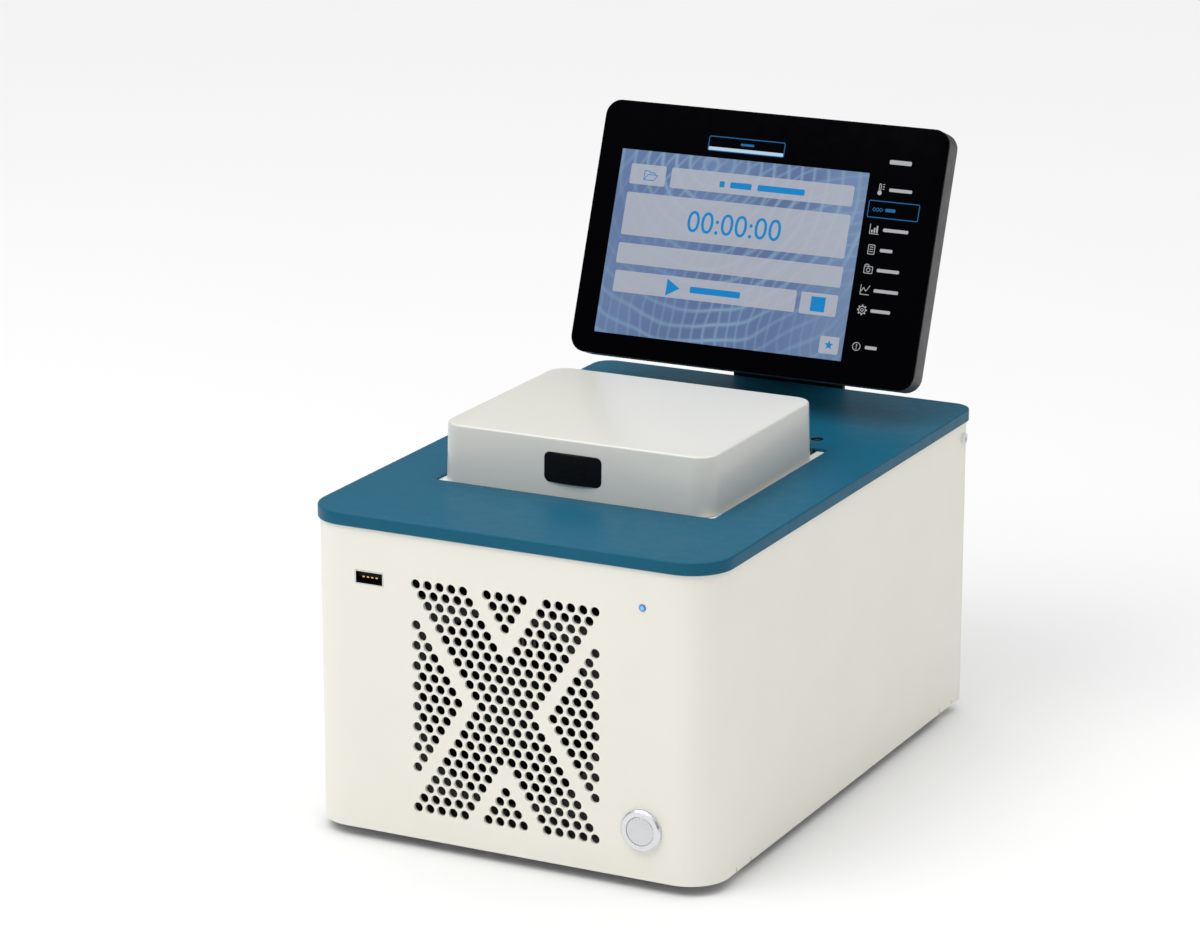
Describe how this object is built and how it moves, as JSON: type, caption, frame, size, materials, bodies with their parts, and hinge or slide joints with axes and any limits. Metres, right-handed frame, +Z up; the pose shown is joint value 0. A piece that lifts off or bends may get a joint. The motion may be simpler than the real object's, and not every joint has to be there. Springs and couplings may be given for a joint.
{
  "type": "thermal cycler",
  "caption": "Bench-top thermal cycler with a perforated front, teal top plate, hinged heated lid over a tube block, push latch, power button and tilting touch display.",
  "frame": {"origin": "centre of the footprint on the bench surface, under the feet", "axes": "+Z up, the perforated front faces -Y, +X to the right as seen from the front"},
  "size_m": [0.203, 0.304, 0.2882],
  "materials": {
    "case_paint": "satin powder coat, warm white",
    "plate_paint": "satin powder coat, teal blue",
    "zinc_steel": "zinc-plated sheet",
    "foot_rubber": "matte",
    "screw_white": "painted",
    "screw_black": "black oxide",
    "plated_metal": "nickel plated",
    "washer_steel": "plain",
    "black_plastic": "fine texture",
    "board_green": "solder mask",
    "brass_post": "plain",
    "clear_plastic": "clear, polished",
    "button_steel": "turned, bevelled rim",
    "button_cap": "spun, radial brushing",
    "spring_steel": "spring temper",
    "frame_white": "fine texture",
    "block_aluminium": "anodised clear",
    "seal_rubber": "foam",
    "ceramic_white": "ceramic",
    "sink_aluminium": "plain",
    "bracket_paint": "black powder coat",
    "lid_plastic": "semi-gloss, warm white",
    "carrier_aluminium": "plain",
    "foam_grey": "foam",
    "hook_steel": "plain",
    "mat_rubber": "silicone heater mat",
    "display_glass": "black-backed glass",
    "housing_plastic": "satin dark grey",
    "panel_plastic": "display panel"
  },
  "bodies": {
    "chassis": {"case_shell": "case_paint", "base_plate": "zinc_steel", "rear_panel": "case_paint", "top_plate": "plate_paint", "rubber_feet": "foot_rubber", "base_screws": "zinc_steel", "side_screws": "screw_white", "plate_screws": "zinc_steel", "usb_shell": "plated_metal", "usb_tongue": "black_plastic", "circuit_boards": "board_green", "board_posts": "brass_post", "board_components": "black_plastic", "status_light": "clear_plastic", "power_bezel": "button_steel", "power_nut": "plated_metal", "power_switch": "black_plastic", "power_spring": "spring_steel", "block_frame": "frame_white", "latch_keeper": "spring_steel", "sample_block": "block_aluminium", "block_seal": "seal_rubber", "peltier_modules": "ceramic_white", "heat_sink": "sink_aluminium", "sink_standoffs": "zinc_steel", "fan_gasket": "seal_rubber", "fan_frame": "black_plastic", "fan_studs": "zinc_steel", "air_duct": "black_plastic", "power_supply": "zinc_steel", "power_inlet": "black_plastic", "inlet_blades": "plated_metal", "hinge_brackets": "zinc_steel", "hinge_pins": "plated_metal", "hinge_screws": "plated_metal", "display_bracket": "bracket_paint", "bracket_screws": "screw_black", "display_pin": "plated_metal", "friction_washers": "washer_steel"},
    "fan": {"fan_rotor": "black_plastic"},
    "power_key": {"power_cap": "button_cap"},
    "lid": {"lid_shell": "lid_plastic", "lid_liner": "frame_white", "lid_screws": "plated_metal", "heater_carrier": "carrier_aluminium", "lid_insulation": "foam_grey", "latch_pin": "plated_metal", "latch_springs": "spring_steel", "plate_springs": "spring_steel"},
    "latch_key": {"latch_button": "black_plastic"},
    "latch_lever": {"latch_hook": "hook_steel"},
    "lid_heater": {"heated_plate": "block_aluminium", "heater_mat": "mat_rubber", "plate_guides": "plated_metal"},
    "display": {"display_glass": "display_glass", "display_housing": "housing_plastic", "lcd_panel": "panel_plastic", "display_board": "board_green", "display_knuckle": "bracket_paint"}
  },
  "joints": [
    {"name": "lid_hinge", "type": "hinge", "parent": "chassis", "child": "lid", "pos_m": [0, 0.035, 0.1536], "axis": [-1, 0, 0], "range_deg": [0, 95], "deforming": ["latch_keeper"]},
    {"name": "latch_press", "type": "slide", "parent": "lid", "child": "latch_key", "axis": [0, 1, 0], "range_m": [0, 0.00136], "stiffness_N_per_m": 900, "springref_m": -0.001, "deforming": ["latch_springs"]},
    {"name": "latch_lever_turn", "type": "hinge", "parent": "lid", "child": "latch_lever", "pos_m": [0, -0.076, 0.1718], "axis": [1, 0, 0], "range_deg": [0, 6.5]},
    {"name": "lid_heater_float", "type": "slide", "parent": "lid", "child": "lid_heater", "axis": [0, 0, 1], "range_m": [0, 0.003], "stiffness_N_per_m": 10000, "springref_m": -0.003, "deforming": ["plate_springs"]},
    {"name": "power_press", "type": "slide", "parent": "chassis", "child": "power_key", "axis": [0, 1, 0], "range_m": [0, 0.0015], "stiffness_N_per_m": 1200, "springref_m": -0.001, "deforming": ["power_spring"]},
    {"name": "fan_spin", "type": "hinge", "parent": "chassis", "child": "fan", "pos_m": [0, -0.12, 0.072], "axis": [0, 1, 0], "continuous": true},
    {"name": "display_tilt", "type": "hinge", "parent": "chassis", "child": "display", "pos_m": [0, 0.137, 0.223], "axis": [1, 0, 0], "range_deg": [-20, 20]}
  ],
  "couplings": [
    {"joint": "latch_lever_turn", "follows": "latch_press", "rad_per_m": 83}
  ]
}
